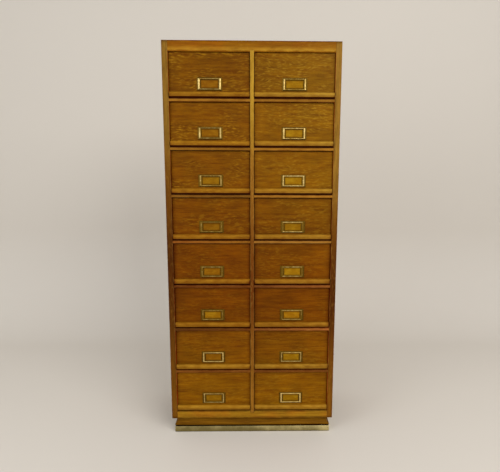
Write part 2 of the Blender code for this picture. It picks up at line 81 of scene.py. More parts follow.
backdropLook = {
    "halfWidth": 9.0,
    "front": -8.0,
    "wall": 1.7,
    "height": 5.0,
    "curve": 0.8,
    "curveSteps": 24,
    "colour": (0.612, 0.567, 0.506),
    "clouds": (1.5, 1.5, 1.5),  # cells to the metre
    "clouding": -0.01,
    "roughness": 0.85,
    "shine": 0.2,
}

lampLooks = {
    "keyLamp": {"at": (1.9, -3.0, 3.1), "size": (2.6, 1.8), "power": 96, "colour": (1.0, 0.985, 0.965)},
    "fillLamp": {"at": (-2.6, -2.4, 1.9), "size": (1.6, 2.4), "power": 40, "colour": (0.96, 0.98, 1.0)},
    "rearLamp": {"at": (0.4, 2.9, 3.2), "size": (2.4, 1.4), "power": 55, "colour": (1.0, 0.99, 0.97)},
}
lampTarget = Vector((0.0, -0.1, 0.95))
worldLook = {"colour": (0.99, 0.995, 1.0), "strength": 0.80}


def placed(name, data):
    made = bpy.data.objects.new(name, data)
    bpy.context.scene.collection.objects.link(made)
    return made


def makeCamera(look):
    data = bpy.data.cameras.new("camera")
    data.lens, data.sensor_width, data.shift_x = look["lens"], look["sensor"], look["shift"]
    made = placed("camera", data)
    made.location = (look["aside"], faceY - look["beforeFace"], look["height"])
    level = Euler((radians(90 - look["pitchDown"]), 0, radians(-look["turnRight"]))).to_matrix()
    made.rotation_euler = (level @ Matrix.Rotation(radians(look["roll"]), 3, "Z")).to_euler()
    bpy.context.scene.camera = made


def makeLamp(name, look):
    data = bpy.data.lights.new(name, "AREA")
    data.shape = "RECTANGLE"
    data.size, data.size_y = look["size"]
    data.energy, data.color = look["power"], look["colour"]
    made = placed(name, data)
    made.location = look["at"]
    made.rotation_euler = (lampTarget - Vector(look["at"])).to_track_quat("-Z", "Y").to_euler()


def lightWorld(look):
    world = bpy.data.worlds.new("studio")
    world.use_nodes = True
    background = world.node_tree.nodes["Background"]
    background.inputs["Color"].default_value = (*look["colour"], 1.0)
    background.inputs["Strength"].default_value = look["strength"]
    bpy.context.scene.world = world


# Materials: sockets that take arithmetic, and one method that adds any node

def mathsNode(operation, turned=False):
    # A method of a signal that adds a Math node, with the signal as its second value if turned.
    def method(self, *others):
        values = (*others, self) if turned else (self, *others)
        return self.finish.add("ShaderNodeMath", {"operation": operation}, dict(enumerate(values)))
    return method


class Signal:
    # An output socket that takes arithmetic.
    def __init__(self, finish, socket):
        self.finish = finish
        self.socket = socket

    __add__ = __radd__ = mathsNode("ADD")
    __sub__ = mathsNode("SUBTRACT")
    __rsub__ = mathsNode("SUBTRACT", turned=True)
    __mul__ = __rmul__ = mathsNode("MULTIPLY")
    __pow__ = mathsNode("POWER")
    __abs__ = mathsNode("ABSOLUTE")
    exponential = mathsNode("EXPONENT")
    lesser = mathsNode("MINIMUM")
    greater = mathsNode("MAXIMUM")

    def rise(self, start, end, most=1.0):
        # A smooth step from 0 at start to most at end, which may be the lower of the two.
        settings = {"interpolation_type": "SMOOTHSTEP"}
        return self.finish.add("ShaderNodeMapRange", settings, {0: self, 1: start, 2: end, 4: most})

    def parts(self):
        # The three numbers of a vector.
        return [self.finish.add("ShaderNodeSeparateXYZ", {}, {0: self}, axis) for axis in "XYZ"]


def blended(signals, shares):
    first, *others = (signal * share for signal, share in zip(signals, shares))
    return sum(others, first)


class Finish:
    # A material in the making, with its Principled shader.
    def __init__(self, name, constants):
        self.material = bpy.data.materials.new(name)
        self.material.use_nodes = True
        self.tree = self.material.node_tree
        self.shader = self.tree.nodes["Principled BSDF"]
        self.set(self.shader, constants)

    def set(self, node, values):
        for key, value in values.items():
            if isinstance(value, Signal):
                self.tree.links.new(value.socket, node.inputs[key])
            else:
                node.inputs[key].default_value = value

    def add(self, kind, settings, values, output=0):
        node = self.tree.nodes.new(kind)
        for key, value in settings.items():
            setattr(node, key, value)
        self.set(node, values)
        return Signal(self, node.outputs[output])

    def attribute(self, name):
        return self.add("ShaderNodeAttribute", {"attribute_name": name}, {}, "Vector")

    def board(self):
        # Along, across and through the grain: a point's place from the board's middle, half the
        # board's size, and how far in from its faces it lies. Then the looks, and where it grew.
        place, reach, looks, seed = (self.attribute(name) for name in ("place", "reach", "looks", "seed"))
        inward = self.vector("SUBTRACT", reach, self.vector("ABSOLUTE", place))
        return place, reach, inward, looks, self.vector("ADD", place, seed)

    def spot(self):
        # The point on the object, in metres.
        return self.add("ShaderNodeTexCoord", {}, {}, "Object")

    def vector(self, operation, first, second=(0, 0, 0)):
        return self.add("ShaderNodeVectorMath", {"operation": operation}, {0: first, 1: second})

    def noise(self, where, scale, detail=2.0, roughness=0.5):
        # Noise with so many cells to the metre along each axis.
        stretched = self.vector("MULTIPLY", where, scale)
        values = {"Vector": stretched, "Scale": 1.0, "Detail": detail, "Roughness": roughness}
        return self.add("ShaderNodeTexNoise", {}, values)

    def mix(self, factor, first, second, blend="MIX"):
        # First and second are colours: linear red, green and blue, or signals.
        first, second = (value if isinstance(value, Signal) else (*value, 1.0)
                         for value in (first, second))
        settings = {"data_type": "RGBA", "blend_type": blend}
        return self.add("ShaderNodeMix", settings, {0: factor, 6: first, 7: second}, 2)

    def shade(self, colour, amount):
        # The colour times an amount.
        grey = self.add("ShaderNodeCombineXYZ", {}, {0: amount, 1: amount, 2: amount})
        return self.mix(1.0, colour, grey, "MULTIPLY")

    def tinted(self, colour, amount, tint):
        # The colour times a tint, by an amount.
        return self.mix(1.0, colour, self.mix(amount, (1.0, 1.0, 1.0), tint), "MULTIPLY")

    def done(self, colour, roughness, height=None, depth=0.0002, strength=0.7):
        self.set(self.shader, {"Base Color": colour, "Roughness": roughness})
        if height is not None:
            values = {"Height": height, "Distance": depth, "Strength": strength}
            self.set(self.shader, {"Normal": self.add("ShaderNodeBump", {}, values)})
        return self.material


# Oak, with a grain that follows each board

# Noise: cells to the metre along, across and through the grain. Then how far it moves the lines
# across and through, or a mark's detail and where in the noise it starts and is full.
oakGrain = {
    "sway": ((2.2, 9.0, 9.0), 0.012, 0.006),
    "curl": ((5.0, 8.0, 8.0), 0.065, 0.0),
    "pores": ((70.0, 2300.0, 2300.0), 1.0, 0.56, 0.68),
    "drift": ((5.0, 9.0, 9.0), 2.0, 0.34, 0.62),
    "flakes": ((44.0, 175.0, 175.0), 1.0, 0.48, 0.72),
    "blotches": ((9.0, 15.0, 15.0), 1.0, 0.34, 0.66),
    "patches": (26.0, 60.0, 60.0),
}

# What every oak has unless its own look says otherwise. A look may add tints: blotched, handled,
# sunlit and insideLit, painted light toward the top and just inside the openings, and insideLitLow.
oakLook = {
    "rings": (5.0, 76.0, 76.0),  # cells to the metre
    "streaks": (16.0, 330.0, 330.0),
    "ripple": (0.7, 0.5),  # how much of the rings and of the streaks
    "contrast": (0.28, 0.94),  # where the lines turn from dark to light
    "flakes": 0.56,  # how much each mark shows
    "pores": 0.22,
    "wear": 0.55,
    "grimeAndShade": 0.22,
    # A painted sheen: a tint that lightens and cools the colour as a reflection would.
    "paintedSheen": (1.24, 1.48, 2.6),
    "sunlitFrom": (1.2, 1.6),  # heights where the painted sunlight starts and is full
    "rubbedAndLitShare": (0.9, 0.05),  # of the patches, and how much less
    "wornWidth": (0.0016, 0.0002),  # start and end
    "wornPatches": (0.34, 0.62),
    "grimeAndShadeWidth": (0.011, 0.001),
    "grimeAndShadePatches": (0.62, 0.4),
    # The colour of grime, and of painted shade in gaps, recesses and under edges.
    "shadeAndGrime": (0.03, 0.004, 0.0003),
    "ends": (0.001, 0.0002, 0.36),  # start, end, and how much darker: end grain, and painted shade in the gaps there
    "darkenedEdges": [],  # from which edge, the same, and how much more where the handled bell is high; mostly painted shade
    "mostDarkening": 0.92,
    "roughness": 0.44,
    "roughened": (0.16, -0.1, 0.12),  # by patches, flakes, and grime and painted shade
    "relief": (0.25, 0.2, -1.0),  # of streaks, flakes and pores
    "varnish": 0.01,
    "varnishRoughness": 0.25,
    "shine": 0.03,
}

oakLooks = {
    "fronts": {
        "dark": (0.082, 0.0215, 0.0003),
        "light": (0.184, 0.071, 0.0008),
        "rings": (8.0, 76.0, 76.0),
        "streaks": (26.0, 330.0, 330.0),
        "contrast": (0.2, 1.02),
        "blotched": (1.18, 1.15, 0.9),
        "handled": (0.9, 0.68, 0.5),
        "fleck": (0.27, 0.122, 0.004),
        "worn": (0.34, 0.17, 0.014),
        "rubbedAndLit": (0.375, 0.18, 0.011),  # where fingers have rubbed it, and painted light on the nosing
        "rubbedAndLitBelow": (0.0298, 0.0273),
        "shadeAndGrime": (0.058, 0.003, 0.0001),
        # Painted shade: in the gap under the nosing, on the nosing's lower face, along the top of the
        # field under the shelf edge, along the arrises, and toward the ends beside the stiles and muntin.
        "darkenedEdges": [("low", 0.0098, 0.0063, 0.8), ("low", 0.0205, 0.0135, 0.26),
                  ("high", 0.004, 0.0005, 0.06, 0.36), ("arris", 0.004, 0.001, 0.08, 0.32),
                  ("along", 0.022, 0.001, 0.03, 0.24)],
        "roughness": 0.4,
    },
    "topRail": {
        "dark": (0.135, 0.042, 0.0006),
        "light": (0.25, 0.095, 0.002),
        "blotched": (1.12, 0.98, 0.9),
        "insideLit": (1.9, 1.35, 0.4),
        "fleck": (0.34, 0.175, 0.014),
        "worn": (0.34, 0.19, 0.025),
        "wornWidth": (0.002, 0.0002),
        "rubbedAndLit": (0.465, 0.25, 0.02),
        "rubbedAndLitBelow": (0.028, 0.004),
        "darkenedEdges": [("high", 0.0045, 0.001, 0.55), ("along", 0.008, 0.001, 0.4)],
    },
    "footRail": {
        "dark": (0.185, 0.072, 0.0035),
        "light": (0.365, 0.19, 0.01),
        "blotched": (1.1, 0.9, 0.9),
        "fleck": (0.4, 0.215, 0.014),
        "worn": (0.4, 0.235, 0.03),
        # Painted shade along its foot and on its top ledge under the nosing above; darker toward its
        # ends.
        "darkenedEdges": [("low", 0.014, 0.002, 0.48), ("high", 0.01, 0.001, 0.34),
                  ("along", 0.008, 0.001, 0.4)],
    },
    "frame": {
        "dark": (0.114, 0.04, 0.0022),
        "light": (0.234, 0.089, 0.0058),
        "handled": (0.38, 0.26, 0.24),
        "sunlit": (1.24, 1.66, 3.2),
        "insideLit": (1.9, 0.85, 0.3),
        "insideLitLow": (1.75, 1.35, 0.6),
        "sunlitFrom": (1.08, 1.44),
        "fleck": (0.32, 0.165, 0.02),
        "worn": (0.32, 0.175, 0.045),
        "wornWidth": (0.002, 0.0002),
        "darkenedEdges": [("along", 0.016, 0.002, 0.45)],
    },
    "boards": {
        "dark": (0.203, 0.081, 0.0065),
        "light": (0.324, 0.146, 0.0159),
        "handled": (0.44, 0.26, 0.22),
        "sunlit": (1.26, 1.58, 1.38),
        "insideLit": (1.4, 0.75, 0.3),
        "insideLitLow": (1.55, 1.15, 0.3),
        "sunlitFrom": (1.29, 1.58),
        "fleck": (0.42, 0.23, 0.04),
        "worn": (0.42, 0.23, 0.05),
    },
    "edges": {
        "dark": (0.134, 0.041, 0.005),
        "light": (0.228, 0.076, 0.009),
        "handled": (0.8, 0.7, 0.7),
        "sunlit": (1.58, 2.1, 1.6),
        "insideLit": (1.2, 0.7, 0.4),
        "sunlitFrom": (0.84, 1.0),
        "fleck": (0.33, 0.165, 0.03),
        "worn": (0.38, 0.2, 0.045),
        "wornWidth": (0.0014, 0.0002),
        "shadeAndGrime": (0.042, 0.0028, 0.0002),
        # Painted shade along the shelf edge's arrises, where the gap lines run above and below it.
        "darkenedEdges": [("arris", 0.0036, 0.0008, 0.3)],
    },
    "plinth": {
        "dark": (0.098, 0.036, 0.0008),
        "light": (0.238, 0.101, 0.003),
        "fleck": (0.18, 0.09, 0.01),
        "worn": (0.19, 0.098, 0.016),
        "wornWidth": (0.0012, 0.0002),
        "shadeAndGrime": (0.008, 0.0018, 0.0002),
        # Painted shadow in the quirk and on the foot below it.
        "darkenedEdges": [("low", 0.0392, 0.038, 0.97)],
    },
    "hidden": {
        "dark": (0.07, 0.028, 0.003),
        "light": (0.165, 0.074, 0.01),
        "blotched": (0.85, 0.85, 0.85),
        "fleck": (0.19, 0.098, 0.02),
        "worn": (0.21, 0.118, 0.03),
    },
    "box": {
        "dark": (0.235, 0.13, 0.045),
        "light": (0.42, 0.275, 0.12),
        "fleck": (0.48, 0.34, 0.17),
        "worn": (0.45, 0.32, 0.16),
        "wornWidth": (0.001, 0.0002),
        "shadeAndGrime": (0.07, 0.04, 0.016),
        "roughness": 0.62,
        "varnish": 0.0,
    },
}


# How the cabinet's front has aged, and where light is painted on it, by place: heights and depths behind
# its face, in metres.
ageLook = {
    "handledHeight": 0.77,  # where hands have darkened it most
    "handledTilt": 0.15,  # higher up on the left
    "handledFall": 5.5,
    "handledDepth": (0.06, 0.03),
    "sunlitTilt": 0.3,  # painted sunlight reaches lower down on the right
    "sunlitDepth": (0.12, 0.005),
    # Painted light on the faces just inside the openings: where it starts and ends behind the face, and
    # its inset from the sides.
    "insideLitFrom": (0.0005, 0.002),
    "insideLitTo": (0.04, 0.022),
    "insideLitInset": (0.0245, 0.026),
    "lowRows": (1.05, 0.4),
}


def arrisDistance(along, across, through):
    # How far a point of a board's surface lies from its nearest arris: of the distances to the
    # three pairs of faces, the least of the greater ones of each two.
    nearest = along.greater(across).lesser(across.greater(through))
    return nearest.lesser(along.greater(through))


def oakAge(oak, look, age):
    # How far each tint of the front shows: painted light on the faces just inside the openings,
    # the touch of hands, in a bell curve over height, and painted sunlight toward the top.
    side, depth, height = oak.spot().parts()

    def behindFace(key):
        start, end = age[key]
        return depth.rise(faceY + start, faceY + end)

    above = height + side * age["handledTilt"] - age["handledHeight"]
    level = above * above * -age["handledFall"]
    handled = level.exponential() * behindFace("handledDepth")
    sunlit = (height + side * age["sunlitTilt"]).rise(*look["sunlitFrom"])
    near, far = (halfWidth - inside for inside in age["insideLitInset"])
    insideLit = behindFace("insideLitFrom") * behindFace("insideLitTo")
    insideLit = insideLit * abs(side).rise(near, far)
    return {"insideLit": insideLit, "insideLitLow": insideLit * height.rise(*age["lowRows"]),
            "handled": handled, "sunlit": sunlit * behindFace("sunlitDepth")}


def oakFinish(name, look):
    oak = Finish(name, {"Coat Weight": look["varnish"], "Coat Roughness": look["varnishRoughness"],
                        "Specular IOR Level": look["shine"]})
    place, reach, inward, looks, grain = oak.board()
    tone, figure, sheened = looks.parts()

    def moved(where, label):
        cells, across, through = oakGrain[label]
        sway = oak.noise(grain, cells) - 0.5
        shift = oak.add("ShaderNodeCombineXYZ", {}, {1: sway * across, 2: sway * through})
        return oak.vector("ADD", where, shift)

    def marks(where, label):
        cells, detail, start, end = oakGrain[label]
        return oak.noise(where, cells, detail).rise(start, end)

    # The lines wander a little, as a tree's do, and the rays cross them a little aslant.
    lines = moved(grain, "sway")
    rings = oak.noise(lines, look["rings"], 2.0, 0.6)
    streaks = oak.noise(lines, look["streaks"])
    pores = marks(lines, "pores")
    flakes = marks(moved(lines, "curl"), "flakes") * marks(grain, "drift") * figure

    # The wood's own colour, then its age and painted light, then its rays and pores.
    ripple = blended((rings, streaks), look["ripple"]).rise(*look["contrast"])
    colour = oak.mix(ripple, look["dark"], look["light"])
    age = oakAge(oak, look, ageLook)
    for label, share in {"blotched": marks(grain, "blotches"), **age}.items():
        if label in look:
            colour = oak.tinted(colour, share, look[label])
    colour = oak.mix(flakes * look["flakes"], colour, look["fleck"])
    colour = oak.shade(colour, tone - pores * look["pores"])

    # Fingers have rubbed it along its lower edge, with painted light on the nosing, and a painted sheen
    # lightens it.
    patches = oak.noise(grain, oakGrain["patches"])
    half, level = reach.parts()[1], place.parts()[1]
    low, high = half + level, half - level
    if "rubbedAndLit" in look:
        share, less = look["rubbedAndLitShare"]
        rubbedAndLit = low.rise(*look["rubbedAndLitBelow"]) * (patches * share - less)
        colour = oak.mix(rubbedAndLit, colour, look["rubbedAndLit"])
    colour = oak.tinted(colour, sheened, look["paintedSheen"])

    # Wear on the arrises, grime and painted shade beside them, darker ends, and darkening along the edges
    # that the look names, mostly painted shade in the gaps.
    along, across, through = inward.parts()
    arris = arrisDistance(along, across, through)
    wear = arris.rise(*look["wornWidth"]) * patches.rise(*look["wornPatches"])
    colour = oak.mix(wear * look["wear"], colour, look["worn"])
    # Darker just inside the arrises: partly grime, partly painted shade.
    grimeAndShade = arris.rise(*look["grimeAndShadeWidth"]) * (1 - wear) * patches.rise(*look["grimeAndShadePatches"])
    shadow = grimeAndShade * look["grimeAndShade"] + along.rise(*look["ends"])
    edges = {"low": low, "high": high, "arris": arris, "along": along}
    for edge, start, end, share, *more in look["darkenedEdges"]:
        share = age["handled"] * more[0] + share if more else share
        shadow = shadow + edges[edge].rise(start, end, share)
    colour = oak.mix(shadow.lesser(look["mostDarkening"]), colour, look["shadeAndGrime"])
    roughness = blended((patches, flakes, grimeAndShade), look["roughened"]) + look["roughness"]
    return oak.done(colour, roughness, blended((streaks, flakes, pores), look["relief"]))


# Brass, card and backdrop

# Start, end and how much, or start and end alone.
brassLook = {
    # Where the colour turns bright: rubbed brass, and a painted highlight on the crests.
    "rubbedAndLit": (1.2, 1.95),
    "hollows": (0.42, 0.12, 0.42),
    "specks": (0.62, 0.72, 0.3),
    "finer": 12,  # than the clouds
    "shine": (1.1, 0.9, 1.0),  # how much the crest, clouds and polish brighten it, rubbed and painted highlight
    "roughened": 0.08,  # by specks
    "relief": 0.00008,
}

brassLooks = {
    "holder": {
        "bright": (0.88, 0.655, 0.245),
        "dull": (0.165, 0.09, 0.009),
        "grimeAndShade": (0.115, 0.059, 0.006),
        "crest": 4.0,  # how much narrower the rubbed and highlighted part is than the raised one
        "foot": (0.2, 0.04, 0.0),
        "cells": 55.0,
        "polish": 0.22,
        "tarnish": 0.46,
    },
    "band": {
        "bright": (0.82, 0.69, 0.33),
        "dull": (0.24, 0.19, 0.068),
        "grimeAndShade": (0.06, 0.045, 0.015),
        "crest": 1.0,
        # Painted contact shadow along the band's lower edge.
        "foot": (0.2, 0.04, 0.5),
        "cells": 14.0,
        "polish": 0.3,
        "tarnish": 0.52,
    },
}

cardLook = {
    "colour": (0.22, 0.1, 0.001),
    "faded": (0.29, 0.155, 0.004),
    "stained": (0.12, 0.051, 0.001),
    "browned": (1.0, 0.8, 0.85),  # a tint
    "fibres": (40.0, 420.0, 40.0),  # cells to the metre
    "clouds": (30.0, 45.0, 30.0),
    "fading": (0.4, 0.66, 0.7),  # start, end and how much
    "staining": (0.46, 0.66, 0.35),
    "edge": (0.013, 0.004, 0.55),
    "roughness": 0.55,
    "roughened": 0.2,  # by fibres
    "relief": 0.0001,
    "shine": 0.04,
}


def brassFinish(name, look):
    # Bright where it stands up and is rubbed, with a painted highlight on the crests; brown in its
    # hollows, mottled in between, and a painted contact shadow along a band's foot.
    brass = Finish(name, {"Metallic": 1.0})
    raised, polish, share = brass.attribute("raised").parts()
    cloud = brass.noise(brass.spot(), (look["cells"],) * 3, 4.0, 0.6)
    specks = brass.noise(brass.spot(), (look["cells"] * look["finer"],) * 3)
    rubbedAndLit = blended((raised ** look["crest"], cloud, polish), look["shine"]).rise(*look["rubbedAndLit"])
    colour = brass.mix(rubbedAndLit, look["dull"], look["bright"])
    hollow = raised.rise(*look["hollows"]) + specks.rise(*look["specks"]) + share.rise(*look["foot"])
    colour = brass.mix(hollow.lesser(1.0), colour, look["grimeAndShade"])
    smoother = look["polish"] - look["tarnish"]
    roughness = blended((rubbedAndLit, specks), (smoother, look["roughened"])) + look["tarnish"]
    return brass.done(colour, roughness, specks + cloud, look["relief"])


def cardFinish(name, look):
    # Browned from the edges in, and faded in the middle, with the fibres lying level.
    card = Finish(name, {"Specular IOR Level": look["shine"]})
    inward, looks, grain = card.board()[2:]
    (along, across), (tone, browned) = inward.parts()[:2], looks.parts()[:2]
    fibres = card.noise(grain, look["fibres"], 3.0)
    cloud = card.noise(grain, look["clouds"], 3.0)
    edge = along.lesser(across).rise(*look["edge"])
    colour = card.mix(cloud.rise(*look["fading"]), look["colour"], look["faded"])
    colour = card.mix(fibres.rise(*look["staining"]), colour, look["stained"])
    colour = card.mix(edge, colour, look["stained"])
    colour = card.shade(card.tinted(colour, browned, look["browned"]), tone)
    return card.done(colour, fibres * look["roughened"] + look["roughness"], fibres, look["relief"])


def backdropFinish(name, look):
    # Seen from behind the sheet isn't there, so the cabinet can be looked at from its back.
    sheet = Finish(name, {"Specular IOR Level": look["shine"]})
    cloud = sheet.noise(sheet.spot(), look["clouds"], 3.0)
    sheet.done(sheet.shade(look["colour"], cloud * look["clouding"] + 1), look["roughness"])
    solid = Signal(sheet, sheet.shader.outputs[0])
    behind = sheet.add("ShaderNodeNewGeometry", {}, {}, "Backfacing")
    clear = sheet.add("ShaderNodeBsdfTransparent", {}, {})
    both = sheet.add("ShaderNodeMixShader", {}, {0: behind, 1: solid, 2: clear})
    sheet.set(sheet.tree.nodes["Material Output"], {"Surface": both})
    return sheet.material


finishes = {kind: oakFinish(kind + "Oak", {**oakLook, **look}) for kind, look in oakLooks.items()}
for kind, look in brassLooks.items():
    finishes[kind] = brassFinish(kind + "Brass", {**brassLook, **look})
finishes["card"] = cardFinish("cardPaper", cardLook)
print("Finishes made:", len(finishes))


# Shapes as arrays: a shell is a pair of points and faces

def compass(turn):
    # The points of a circle of radius 1 at these angles.
    return np.stack([np.cos(turn), np.sin(turn)], axis=-1)


def arcPoints(centre, radius, first, last, steps):
    # Points on a circle, or on an ellipse with two radii, from one angle to another.
    return np.array(centre) + np.array(radius) * compass(np.linspace(first, last, steps + 1))


def loft(rings, closed=False):
    # Joins rings of points, shaped (ring, point, 3). The end rings become flat faces, unless the
    # rings close into a loop.
    count, size = rings.shape[:2]
    index = np.arange(count * size).reshape(count, size)
    here = index if closed else index[:-1]
    there = np.roll(index, -1, axis=0) if closed else index[1:]
    sides = np.stack([here, np.roll(here, -1, 1), np.roll(there, -1, 1), there], axis=-1)
    faces = sides.reshape(-1, 4).tolist()
    if not closed:
        faces += [index[0][::-1].tolist(), index[-1].tolist()]
    return rings.reshape(-1, 3), faces


def grownOutline(outline, amount):
    # A closed outline moved outwards by an amount: each point goes along the sum of its two
    # edges' unit normals, divided by 1 plus the cosine of the turn between them.
    edges = np.roll(outline, -1, axis=0) - outline
    normals = np.stack([edges[:, 1], -edges[:, 0]], axis=1)
    normals /= np.linalg.norm(normals, axis=1)[:, None]
    before = np.roll(normals, 1, axis=0)
    turn = np.clip((before * normals).sum(axis=1), -0.5, 1.0)
    return outline + amount * (before + normals) / (1 + turn)[:, None]


def easedSweep(outline, start, end, ease, steps=3):
    # An outline in Y and Z carried along X. Towards each end it shrinks by ease times
    # (1 - cos t) while X runs the last ease times (1 - sin t), a quarter turn of t.
    turn = np.linspace(0, pi / 2, steps + 1)
    inset = ease * (1 - np.cos(turn))
    run = ease * (1 - np.sin(turn))
    shrink = np.hstack([inset[::-1], inset])
    where = np.hstack([start + run[::-1], end - run])
    rings = np.array([grownOutline(outline, -amount) for amount in shrink])
    return loft(np.insert(rings, 0, where[:, None], axis=2))


def easedRectangle(low, high, ease, steps=3):
    # A rectangle with its corners rounded by quarter turns, anticlockwise from its lowest.
    turn = np.linspace(0, pi / 2, steps + 1)
    starts = np.array([pi, 1.5 * pi, 0, 0.5 * pi])[:, None] + turn
    centres = np.array([low, (high[0], low[1]), high, (low[0], high[1])], dtype=float)
    centres += ease * np.array([(1, 1), (-1, 1), (-1, -1), (1, -1)])
    return (centres[:, None] + compass(starts) * ease).reshape(-1, 2)


def dome(radius, rise, steps=5, sides=16):
    # A pin's head that faces -Y: rings of radius cos t stand rise times sin t proud, up to a
    # small flat crown, over a foot that is let in.
    turn = np.linspace(0, 0.45 * pi, steps)
    out = np.hstack([-0.4 * rise, rise * np.sin(turn)])
    wide = radius * np.hstack([1, np.cos(turn)])
    flat = wide[:, None, None] * compass(np.linspace(0, 2 * pi, sides, endpoint=False))
    return loft(np.insert(flat, 1, -out[:, None], axis=2))


def shifted(shell, place):
    return shell[0] + np.array(place), shell[1]


def joined(shells):
    # Several shells as one, each with its own faces.
    starts = np.cumsum([0] + [len(points) for points, faces in shells])
    faces = [[int(start) + corner for corner in face]
             for start, shell in zip(starts, shells) for face in shell[1]]
    return np.vstack([points for points, faces in shells]), faces


def meshOf(name, shell):
    mesh = bpy.data.meshes.new(name)
    mesh.from_pydata(shell[0].tolist(), [], shell[1])
    return mesh


def shellOf(mesh):
    points = np.empty(len(mesh.vertices) * 3)
    mesh.vertices.foreach_get("co", points)
    return points.reshape(-1, 3), [list(face.vertices) for face in mesh.polygons]


def carved(shell, tool):
    # The shell with the tool's space cut away.
    stock, cutter = (placed("carving", meshOf("carving", part)) for part in (shell, tool))
    step = stock.modifiers.new("carve", "BOOLEAN")
    step.operation, step.solver, step.object = "DIFFERENCE", "EXACT", cutter
    mesh = bpy.data.meshes.new_from_object(stock.evaluated_get(bpy.context.evaluated_depsgraph_get()))
    for leftover in (stock, cutter):
        bpy.data.objects.remove(leftover, do_unlink=True)
    return shellOf(mesh)


def benchOf(mesh):
    bm = bmesh.new()
    bm.from_mesh(mesh)
    return bm


def offBench(bm):
    mesh = bpy.data.meshes.new("board")
    bm.to_mesh(mesh)
    bm.free()
    return shellOf(mesh)


def easedNode(node, ease, shortest=0.010, sharpest=radians(30), flattest=radians(1)):
    # The board as built, with its long outer arrises rounded over.
    bm = benchOf(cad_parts[node].data)
    bmesh.ops.remove_doubles(bm, verts=bm.verts, dist=hair / 10)
    bmesh.ops.dissolve_limit(bm, angle_limit=flattest, verts=bm.verts, edges=bm.edges)
    arrises = [edge for edge in bm.edges
               if edge.calc_length() > shortest and edge.is_convex and edge.calc_face_angle(0) > sharpest]
    bmesh.ops.bevel(bm, geom=arrises, offset=ease, segments=2, profile=0.5, affect="EDGES",
                    clamp_overlap=False)
    bmesh.ops.recalc_face_normals(bm, faces=bm.faces)
    return offBench(bm)


def giveVectors(piece, name, values):
    # A vector for each point, or one for all of them.
    layer = piece.data.attributes.new(name, "FLOAT_VECTOR", "POINT").data
    layer.foreach_set("vector", np.broadcast_to(values, (len(layer), 3)).astype(np.float32).ravel())


def cutFrom(points, along):
    # A board's attributes: place from its middle and half its size, both in the order along,
    # across, through, and a random place in the tree.
    low, high = points.min(axis=0), points.max(axis=0)
    others = sorted((axis for axis in range(3) if axis != along), key=lambda axis: low[axis] - high[axis])
    order = [along, *others]
    place = (points - (low + high) / 2)[:, order]
    reach = np.broadcast_to((high - low)[order] / 2, place.shape)
    seed = np.broadcast_to(chance.uniform(-treeReach, treeReach, 3), place.shape)
    return place, reach, seed


def giveCuts(piece, boards):
    layers = zip(*(cutFrom(shell[0], along) for shell, along in boards))
    for name, values in zip(("place", "reach", "seed"), layers):
        giveVectors(piece, name, np.vstack(values))


def addPiece(name, shell, material, body, nodes=()):
    mesh = meshOf(name, shell)
    mesh.shade_smooth()
    mesh.set_sharp_from_angle(angle=sharpFrom)
    mesh.materials.append(material)
    made = placed(name, mesh)
    made.modifiers.new("even shading", "WEIGHTED_NORMAL").keep_sharp = True
    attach(made, body)
    if nodes:
        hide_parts(*nodes)
    return made


def addBoards(name, boards, kind, body, nodes=(), tone=1.0, figure=0.5, sheened=0.0):
    # One or more boards as one piece; a board is a shell and the axis of its grain. Tone and
    # painted sheen are one number, or one for each point.
    made = addPiece(name, joined([shell for shell, along in boards]), finishes[kind], body, nodes)
    giveCuts(made, boards)
    tones = np.hstack([np.ones(len(shell[0])) * tone * (1 + spread(boardSpread))
                       for shell, along in boards])
    ones = np.ones_like(tones)
    giveVectors(made, "looks", np.stack([tones, ones * figure, ones * sheened], axis=1))


# Carcass: the CAD boards with eased arrises, each cut from its own piece of oak

carcassLook = {
    "ease": 0.0009,
    "figure": 0.35,
    "sideGrains": {"front_stile": 2, "rear_stile": 2, "top_rail": 1, "bottom_rail": 1, "panel": 2},
    # The right side is lighter than the left: painted light from the right.
    "sideTones": {"left": 0.92, "right": 1.04},
    "boards": {
        "top_rail": ("topRail", 0, "oak_frame", 1.0),
        "bottom_rail": ("footRail", 0, "oak_frame", 1.0),
        "top_board": ("boards", 0, "oak_boards", 1.0),
        "bottom_board": ("boards", 0, "oak_boards", 0.95),
        "centre_partition": ("boards", 2, "oak_boards", 1.01),
        "plinth_back": ("hidden", 0, "oak_plinth", 1.1),
    },
    "shelfFigure": 0.2,
    # From the top shelf down: at its left end, left and right of the muntin, and its right end.
    "shelfTones": [
        (0.93, 0.89, 0.86, 0.70),
        (0.78, 0.74, 1.00, 1.12),
        (0.67, 0.55, 0.93, 1.16),
        (1.40, 0.92, 1.10, 0.91),
        (0.82, 1.03, 0.82, 1.46),
        (0.53, 0.87, 1.00, 2.20),
        (1.00, 1.00, 0.98, 0.88),
    ],
    "muntinHalf": 0.008,
    "sheenedShelves": (4, 5, 6),  # a painted sheen on their right halves
    "shelfSheen": 0.5,
    "footDrop": 0.0045,  # how far the muntin's foot reaches down past its housing
    "footSlack": 0.0011,  # the dark line round it
    "footShort": 0.001,  # how far it ends before the rail's back
    "backBoards": 7,
    "backGroove": 0.0012,
    "backTone": 0.62,
}


def footLetDown(shell, depth, drop, step=0.0005, height=0.0015):
    # A board with the front part of its foot carried down, by a step at a depth.
    bm = benchOf(meshOf("board", shell))
    for y in (depth, depth + step):
        parts = [*bm.verts, *bm.edges, *bm.faces]
        bmesh.ops.bisect_plane(bm, geom=parts, plane_co=(0, y, 0), plane_no=(0, 1, 0))
    foot = shell[0][:, 2].min() + height
    for vert in bm.verts:
        if vert.co.z < foot and vert.co.y < depth + hair:
            vert.co.z -= drop
    return offBench(bm)


